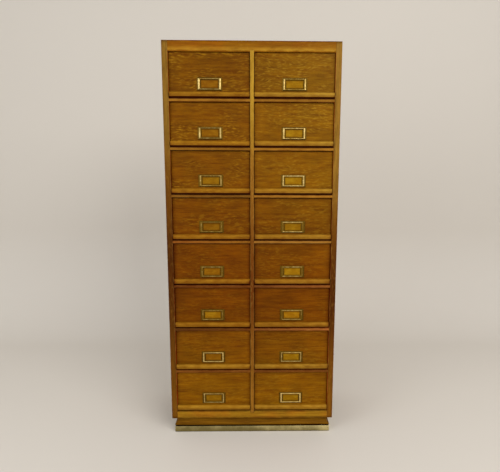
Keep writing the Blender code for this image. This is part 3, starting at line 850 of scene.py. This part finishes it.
def jointedBoard(node, look):
    # The board as built and eased; the muntin's foot and the rail that it is let into fit
    # each other.
    shell = easedNode(node, look["ease"])
    low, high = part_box("bottom_rail")
    if node == "centre_partition":
        return footLetDown(shell, high.y - look["footShort"], look["footDrop"])
    if node == "bottom_rail":
        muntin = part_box("centre_partition")
        floor = muntin[0].z - look["footDrop"] - look["footSlack"]
        reach = muntin[1].x + look["footSlack"]
        section = easedRectangle((low.y - past, floor), (high.y + past, high.z + past), 0, 0)
        return carved(shell, easedSweep(section, -reach, reach, hair, 1))
    return shell


def dressCarcass(look):
    def dress(node, shell, along, kind, tone, figure=look["figure"], sheened=0.0):
        addBoards(node + "Oak", [(shell, along)], kind, "cabinet", [node], tone, figure, sheened)

    for side in columns:
        for part, along in look["sideGrains"].items():
            node = f"side_{side}_{part}"
            dress(node, jointedBoard(node, look), along, "frame", look["sideTones"][side])
    for node, (kind, along, slot, tone) in look["boards"].items():
        dress(node, jointedBoard(node, look), along, kind, tone)
    muntin = look["muntinHalf"]
    for row, ends in enumerate(look["shelfTones"], 1):
        shell = jointedBoard(f"shelf_{row}", look)
        across = shell[0][:, 0]
        tone = np.interp(across, (-halfWidth, -muntin, muntin, halfWidth), ends)
        sheened = look["shelfSheen"] * (across > 0) * (row in look["sheenedShelves"])
        dress(f"shelf_{row}", shell, 0, "edges", tone, look["shelfFigure"], sheened)

    # The back is upright boards with a groove at each joint: sweeps along X, turned to Z.
    low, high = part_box("back_panel")
    joints = np.linspace(low.x, high.x, look["backBoards"] + 1)
    boards = []
    for left, right in zip(joints[:-1], joints[1:]):
        section = easedRectangle((left, low.y), (right, high.y), look["backGroove"])
        points, faces = easedSweep(section, low.z, high.z, look["ease"])
        boards.append(((points[:, [1, 2, 0]], faces), 2))
    addBoards("back_panelOak", boards, "boards", "cabinet", ["back_panel"],
              look["backTone"], look["figure"])


dressCarcass(carcassLook)
print("Carcass dressed")


# Plinth: a foot for the band, a quirk with painted shadow, a lip, and a cove that sweeps in under the
# carcass

plinthLook = {
    "thickness": 0.018,
    "footInset": 0.012,
    "lipHeight": 0.003,
    "lipRound": 0.0008,
    "quirkHeight": 0.008,
    "quirkDepth": 0.008,
    "coveSteps": 16,
    "figure": 0.3,
}

bandLook = {
    "height": 0.029,
    "thickness": 0.0015,
    "floorGap": 0.001,
    "corner": 0.0012,
    "cornerSteps": 6,
    "frontSteps": 24,
    "edge": 0.0005,
    "pinRadius": 0.0016,
    "pinRise": 0.0007,
    "pinPitch": 0.128,
    "frontPins": range(-3, 4),  # pitches from the middle
    "sidePins": (0.35, 1.35, 2.35),  # pitches behind the face
    "pinHeight": 0.62,  # of the band's height
    "raised": (0.72, 0.26),  # at its lower edge, and more at its upper one: a painted highlight along its top
    "polish": (-0.05, 0.17, 0.18),  # polish with painted light: in the middle, and how it grows to the right and both ends
}


def plinthOutline(look, band, top, faceInset):
    # Inset from the carcass and height. The cove is a quarter of an ellipse from the lip to
    # the underside of the stiles.
    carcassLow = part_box("side_left_front_stile")[0].z - fit
    bandTop = band["floorGap"] + band["height"]
    lipLow = bandTop + look["quirkHeight"]
    lipHigh = lipLow + look["lipHeight"]
    lip, curl = look["footInset"], look["lipRound"]
    foot = lip + band["thickness"] + fit
    quirk = lip + look["quirkDepth"]
    inner = faceInset + look["thickness"]
    return np.vstack([
        (inner, 0), (foot, 0), (foot, bandTop), (quirk, bandTop), (quirk, lipLow),
        arcPoints((lip + curl, lipLow + curl), curl, -pi / 2, -pi, 4),
        arcPoints((lip, carcassLow), (faceInset - lip, carcassLow - lipHigh), -pi / 2, 0,
                  look["coveSteps"]),
        (faceInset, top), (inner, top),
    ])


def dressPlinth(look, band):
    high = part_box("plinth_front")[1]
    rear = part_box("plinth_left")[1].y
    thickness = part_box("side_left_front_stile")[1].x + halfWidth
    inset, height = plinthOutline(look, band, high.z, thickness + fit).T
    front, side = faceY + inset, halfWidth - inset
    mitre, rear = front + 2 * fit, 0 * inset + rear
    ends = {
        "front": ((-side, front), (side, front)),
        "left": ((-side, rear), (-side, mitre)),
        "right": ((side, mitre), (side, rear)),
    }
    for part, places in ends.items():
        rings = np.array([np.stack([x, y, height], axis=1) for x, y in places])
        board = (loft(rings), 0 if part == "front" else 1)
        name = "plinth_" + part
        addBoards(name + "Oak", [board], "plinth", "cabinet", [name], figure=look["figure"])


def bandPath(look, foot):
    # The band's outer line and its normals: straight along the sides, a quarter turn at each
    # front corner, and a run of steps between them.
    side, front = halfWidth - foot, faceY + foot
    radius, steps = look["corner"], look["cornerSteps"]
    normals = [compass(np.linspace(first, first + pi / 2, steps)) for first in (pi, 1.5 * pi)]
    corners = [np.array((middle, front + radius)) + radius * normal
               for middle, normal in zip((radius - side, side - radius), normals)]
    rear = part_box("brass_band")[1].y
    run = np.linspace(radius - side, side - radius, look["frontSteps"] + 1)[1:-1]
    run = np.stack([run, np.full_like(run, front)], axis=1)
    line = [(-side, rear), corners[0], run, corners[1], (side, rear)]
    ahead = np.broadcast_to((0.0, -1.0), run.shape)
    return np.vstack(line), np.vstack([(-1, 0), normals[0], ahead, normals[1], (1, 0)])


def dressBand(look, foot):
    line, normals = bandPath(look, foot)
    corner = (-look["thickness"], look["floorGap"])
    opposite = (0.0, look["floorGap"] + look["height"])
    depth, height = easedRectangle(corner, opposite, look["edge"]).T
    flat = line[:, None] + normals[:, None] * depth[:, None]
    strip = loft(np.insert(flat, 2, height, axis=2))
    band = addPiece("brassBand", strip, finishes["band"], "cabinet", ["brass_band"])
    share = (strip[0][:, 2] - look["floorGap"]) / look["height"]
    across = strip[0][:, 0] / halfWidth
    # Brighter toward the upper edge, a painted highlight; the third value darkens the foot, a painted
    # contact shadow.
    least, more = look["raised"]
    middle, slope, bow = look["polish"]
    polish = middle + slope * across + bow * across ** 2
    giveVectors(band, "raised", np.stack([least + more * share, polish, share], axis=1))

    level = look["floorGap"] + look["height"] * look["pinHeight"]
    points, faces = dome(look["pinRadius"], look["pinRise"])
    heads = [shifted((points, faces), (look["pinPitch"] * pitches, faceY + foot, level))
             for pitches in look["frontPins"]]
    for pitches in look["sidePins"]:
        for side in columns.values():
            turned = np.stack([-side * points[:, 1], side * points[:, 0], points[:, 2]], axis=1)
            place = (side * (halfWidth - foot), faceY + look["pinPitch"] * pitches, level)
            heads.append(shifted((turned, faces), place))
    made = addPiece("bandPins", joined(heads), finishes["band"], "cabinet")
    giveVectors(made, "raised", (1.0, 0.0, 0.0))


dressPlinth(plinthLook, bandLook)
dressBand(bandLook, plinthLook["footInset"])
print("Plinth and band dressed")


# Drawers: a nosed front with sockets in its ends, and a box dovetailed into it

drawerLook = {
    "thickness": 0.02,
    "lowGap": 0.002,
    "topRound": 0.0012,
    "nosingLow": 0.0085,
    "nosingHigh": 0.031,
    "nosingDepth": 0.0165,
    "nosingRound": 0.011,
    "chinRound": 0.0025,
    "fillet": 0.001,
    "endEase": 0.0008,
    "side": 0.012,
    "sideTop": 0.189,
    "back": 0.012,
    "backDrop": 0.01,
    "bottomLow": 0.0093,
    "bottomHigh": 0.0153,
    "lap": 0.01,
    "frontTails": 4,
    "backTails": 5,
    "tailShare": 0.62,
    "tailFlare": 0.14,
    "ease": 0.0005,
    "tones": {
        "left": (0.88, 1.00, 1.08, 1.05, 1.10, 1.00, 1.05, 1.12),
        "right": (0.92, 1.02, 1.05, 0.96, 1.06, 1.05, 1.13, 1.11),
    },
    "handledRows": (5, 6, 7),  # their left ends are darker
    "handledEnd": 0.13,
    # In the top row, less by each row, and least: the rays, and how much painted sheen lightens them.
    "rays": {"left": (2.15, 0.45, 0.42), "right": (1.10, 0.15, 0.45)},
    "raySpread": 0.06,
    "toneSpread": 0.02,
    "paintedSheen": {"left": (0.0, 0.0, 0.0), "right": (1.05, 0.17, 0.25)},
    "sheenAlong": (0.45, 0.75),  # at the left end, and more at the right one
    "lowRows": (7, 8),  # paler all over, a painted sheen
    "lowSheen": 0.4,
    "boxFigure": 0.15,
}


def frontOutline(look, top):
    # Depth and height: from the chin up the nosing's face, over its round shoulder, through a
    # small fillet and up the flat field.
    low, high, deep, shoulder, chin, fillet, soft = (look[key] for key in (
        "nosingLow", "nosingHigh", "nosingDepth", "nosingRound", "chinRound", "fillet", "topRound"))
    return np.vstack([
        (look["thickness"], look["lowGap"]), (0, look["lowGap"]), (0, low),
        arcPoints((chin - deep, low + chin), chin, -pi / 2, -pi, 6),
        arcPoints((shoulder - deep, high - shoulder), shoulder, pi, pi / 2, 12)[:-1],
        arcPoints((-fillet, high + fillet), fillet, -pi / 2, 0, 3),
        arcPoints((soft, top - soft), soft, pi, pi / 2, 4),
        (look["thickness"], top),
    ])[::-1]


def tailPairs(low, high, count, look):
    # Middle height, and half widths at root and tip, of evenly spaced dovetails.
    pitch = (high - low) / count
    half, flare = pitch * look["tailShare"] / 2, pitch * look["tailFlare"] / 2
    return [(low + (index + 0.5) * pitch, half - flare, half + flare) for index in range(count)]


def tailLine(tails, root, tip):
    # The line of a board's end with its tails, from the lowest up.
    return [point for middle, narrow, wide in tails for point in (
        (root, middle - narrow), (tip, middle - wide), (tip, middle + wide), (root, middle + narrow))]


def tailTools(tails, root, tip, ends):
    # Prisms that cut the sockets: each tail's trapezoid, a little wider, carried along X.
    tools = []
    for start, end in ends:
        for tail in tails:
            outline = np.array(tailLine([tail], root, tip))
            outline = outline[::-1] if tip < root else outline
            tools.append(easedSweep(grownOutline(outline, hair), start, end, hair, 1))
    return joined(tools)


def drawerPatterns(look, half, rear, top):
    # From the drawer's own origin: the middle of the front's face, on the shelf.
    inside = half - look["side"]
    shoulder, backFace, low = look["thickness"], rear - look["back"], look["bottomLow"]
    sideTop, backTop = look["sideTop"], look["sideTop"] - look["backDrop"]
    frontTails = tailPairs(fit, sideTop, look["frontTails"], look)
    backTails = tailPairs(low, backTop, look["backTails"], look)
    side = np.array([
        (shoulder, fit), (rear, fit), (rear, low), (backFace, low), *tailLine(backTails, backFace, rear),
        (backFace, backTop), (rear, backTop), (rear, sideTop), (shoulder, sideTop),
        *tailLine(frontTails, shoulder, look["lap"])[::-1],
    ])

    ease = look["ease"]
    ends = ((-half - past, -inside + hair), (inside - hair, half + past))
    sockets = tailTools(frontTails, shoulder + past, look["lap"], ends)
    front = carved(easedSweep(frontOutline(look, top), -half, half, look["endEase"]), sockets)
    sockets = tailTools(backTails, backFace, rear + past, ends)
    section = easedRectangle((backFace, low), (rear, backTop), 2 * ease)
    back = carved(easedSweep(section, -half, half, ease), sockets)
    section = easedRectangle((shoulder, low), (backFace, look["bottomHigh"]), 2 * ease)
    bottom = easedSweep(section, -inside + hair, inside - hair, ease)
    sides = [(easedSweep(side, start, end, ease), 1)
             for start, end in ((-half, -inside), (inside, half))]
    return front, [*sides, (back, 0), (bottom, 0)]


low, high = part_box("drawer_right_1")
drawerY = low.y + drawerLook["nosingDepth"]
frontPattern, boxPattern = drawerPatterns(
    drawerLook, (high.x - low.x) / 2, high.y - drawerY, high.z - low.z + fit
)
print("Drawer patterns made:", len(frontPattern[0]), "points in a front")


def fading(values, row):
    # From the top row's value, less by each row, to the least.
    first, less, least = values
    return max(least, first - less * (row - 1))


def dressDrawer(column, row, look):
    node, body = f"drawer_{column}_{row}", f"{column}_drawer_{row}"
    low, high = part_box(node)
    place = ((low.x + high.x) / 2, drawerY, low.z - fit)
    figure = fading(look["rays"][column], row) + spread(look["raySpread"])
    tone = spread(look["toneSpread"]) + look["tones"][column][row - 1]
    front = shifted(frontPattern, place)
    share = (front[0][:, 0] - low.x) / (high.x - low.x)
    if row in look["handledRows"]:
        tone = tone * (1 - look["handledEnd"] * (1 - share) ** 2)
    # A painted sheen, growing toward the right end.
    start, more = look["sheenAlong"]
    sheened = fading(look["paintedSheen"][column], row) * (start + more * share)
    sheened = sheened + look["lowSheen"] * (row in look["lowRows"])
    addBoards(f"front_{column}_{row}", [(front, 0)], "fronts", body, [node],
              tone, figure, sheened)
    box = [(shifted(shell, place), along) for shell, along in boxPattern]
    addBoards(f"box_{column}_{row}", box, "box", body, [node], figure=look["boxFigure"])


for column, row in drawers:
    dressDrawer(column, row, drawerLook)
print("Drawers dressed")


# Label holders: a small bead and a broad roll mitred round a card, held by two pins

holderLook = {
    "border": np.array((0.018, 0.011)),
    "base": 0.0012,
    "bead": {"middle": 0.09, "half": 0.08, "rise": 0.001},
    "roll": {"middle": 0.55, "half": 0.38, "rise": 0.0037},
    "lip": 0.0009,
    "steps": 36,
    "outerRound": 0.0016,
    "innerRound": 0.0006,
    "cornerSteps": 4,
    "seatShare": 0.65,
    "seatDepth": 0.0012,
    "pinRadius": 0.0021,
    "pinRise": 0.0009,
    # Polish by row, which also paints the highlights brighter or duller.
    "polish": {
        "left": (0.22, 0.12, -0.05, -0.19, -0.22, -0.22, 0.15, 0.06),
        "right": (0.08, 0.14, 0.11, -0.24, -0.30, -0.27, -0.02, 0.30),
    },
    "levelPolish": {  # more or less polish and painted highlight, on the bars above and below the card
        "left": (-0.32, -0.24, -0.04, 0.02, 0.16, 0.12, 0.0, -0.04),
        "right": (-0.25, -0.12, 0.0, 0.29, 0.27, 0.26, 0.10, -0.04),
    },
    "cardTones": {
        "left": (0.77, 0.88, 0.89, 0.75, 0.92, 1.10, 0.80, 0.93),
        "right": (1.01, 1.12, 1.07, 0.99, 1.12, 1.21, 1.10, 1.05),
    },
    "cardBrowned": {
        "left": (1.0, 0.85, 0.3, 0.85, 0.8, 0.3, 0.95, 0.35),
        "right": (0.0, 0.0, 0.0, 0.15, 0.0, 0.5, 0.0, 0.0),
    },
    "cardSpread": 0.05,
    "cardThickness": 0.0004,
    "cardBow": 0.0003,
    "cardSlack": 0.0004,
    "cardSteps": 12,
}


def halfEllipse(share, part):
    return part["rise"] * np.sqrt(np.clip(1 - ((share - part["middle"]) / part["half"]) ** 2, 0, 1))


def holderPattern(look, half, thickness):
    # Rounded rectangles nested from the outer edge in, each base plus bead plus roll high, then
    # back under the roll, and a slot cut down into the seat from above.
    seat, slot = look["seatDepth"], half - look["seatShare"] * look["border"]
    share = np.linspace(0, 1, look["steps"] + 1)
    height = look["base"] + halfEllipse(share, look["bead"]) + halfEllipse(share, look["roll"])
    height = np.minimum(height, thickness)
    height[-1] = look["lip"] + seat
    share = np.hstack([share, 1, look["seatShare"], look["seatShare"], 0])
    height = np.hstack([height, seat, seat, 0, 0])
    radii = look["outerRound"] + (look["innerRound"] - look["outerRound"]) * share
    corners = half - share[:, None] * look["border"]
    flat = np.array([easedRectangle(-corner, corner, radius, look["cornerSteps"])
                     for corner, radius in zip(corners, radii)])
    section = easedRectangle((-seat, 0), (past, 2 * half[1]), 0, 0)
    return carved(loft(np.insert(flat, 1, -height[:, None], axis=2), closed=True),
                  easedSweep(section, -slot[0], slot[0], hair, 1))


def cardPattern(look, half):
    # A thin card that bows forward by one minus the square of its place along its width.
    wide, tall = half - look["seatShare"] * look["border"] - look["cardSlack"]
    x = np.linspace(-wide, wide, look["cardSteps"] + 1)
    bow = -look["cardBow"] * (1 - (x / wide) ** 2)
    thick = look["cardThickness"]
    corners = np.array([(-thick, -tall), (-thick, tall), (0, tall), (0, -tall)])
    y = bow[:, None] + corners[:, 0] - hair
    x, y, z = np.broadcast_arrays(x[:, None], y, corners[:, 1])
    return loft(np.stack([x, y, z], axis=-1))


low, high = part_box("label_holder_right_1")
holderHalf = np.array(((high.x - low.x) / 2, (high.z - low.z) / 2))
holderShell = holderPattern(holderLook, holderHalf, high.y - low.y)
cardShell = cardPattern(holderLook, holderHalf)
pinX = holderHalf[0] - holderLook["border"][0] * holderLook["roll"]["middle"]
crown = -(holderLook["base"] + holderLook["roll"]["rise"])
pin = dome(holderLook["pinRadius"], holderLook["pinRise"])
pinShell = joined([shifted(pin, (x, crown + 2 * hair, 0)) for x in (-pinX, pinX)])


def dressHolder(column, row, look):
    node, body = f"label_holder_{column}_{row}", f"{column}_drawer_{row}"
    low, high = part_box(node)
    place = ((low.x + high.x) / 2, high.y, (low.z + high.z) / 2)
    polish, more, tone, browned = (look[key][column][row - 1] for key in
                                   ("polish", "levelPolish", "cardTones", "cardBrowned"))
    for name, pattern, nodes in (("holder", holderShell, [node]), ("pins", pinShell, [])):
        piece = addPiece(f"{name}_{column}_{row}", shifted(pattern, place), finishes["holder"], body,
                         nodes)
        raised = np.clip(pattern[0][:, 1] / crown, 0, 1)
        inset = (np.abs(pattern[0][:, [0, 2]]) - holderHalf) / look["border"]
        level = inset[:, 1] > inset[:, 0]
        giveVectors(piece, "raised", np.stack([raised, polish + more * level, raised], axis=1))
    card = shifted(cardShell, place)
    made = addPiece(f"card_{column}_{row}", card, finishes["card"], body)
    giveCuts(made, [(card, 0)])
    giveVectors(made, "looks", (tone + spread(look["cardSpread"]), browned, 0.0))


for column, row in drawers:
    dressHolder(column, row, holderLook)
print("Label holders dressed")


def makeBackdrop(look):
    # A sheet whose section is a level run, a quarter turn and an upright run, carried along X.
    centre = (look["wall"] - look["curve"], look["curve"])
    bend = arcPoints(centre, look["curve"], -pi / 2, 0, look["curveSteps"])
    line = np.vstack([(look["front"], 0), bend, (look["wall"], look["height"])])
    points = np.vstack([np.insert(line, 0, side * look["halfWidth"], axis=1)
                        for side in columns.values()])
    index = np.arange(len(line) - 1)
    faces = np.stack([index, index + len(line), index + len(line) + 1, index + 1], axis=1)
    mesh = meshOf("backdrop", (points, faces.tolist()))
    mesh.shade_smooth()
    mesh.materials.append(backdropFinish("backdropPaper", look))
    made = placed("backdrop", mesh)


makeCamera(cameraLook)
makeBackdrop(backdropLook)
lightWorld(worldLook)
for name, look in lampLooks.items():
    makeLamp(name, look)
bpy.context.scene.view_settings.view_transform = "Standard"
print("Camera, backdrop and lamps set")
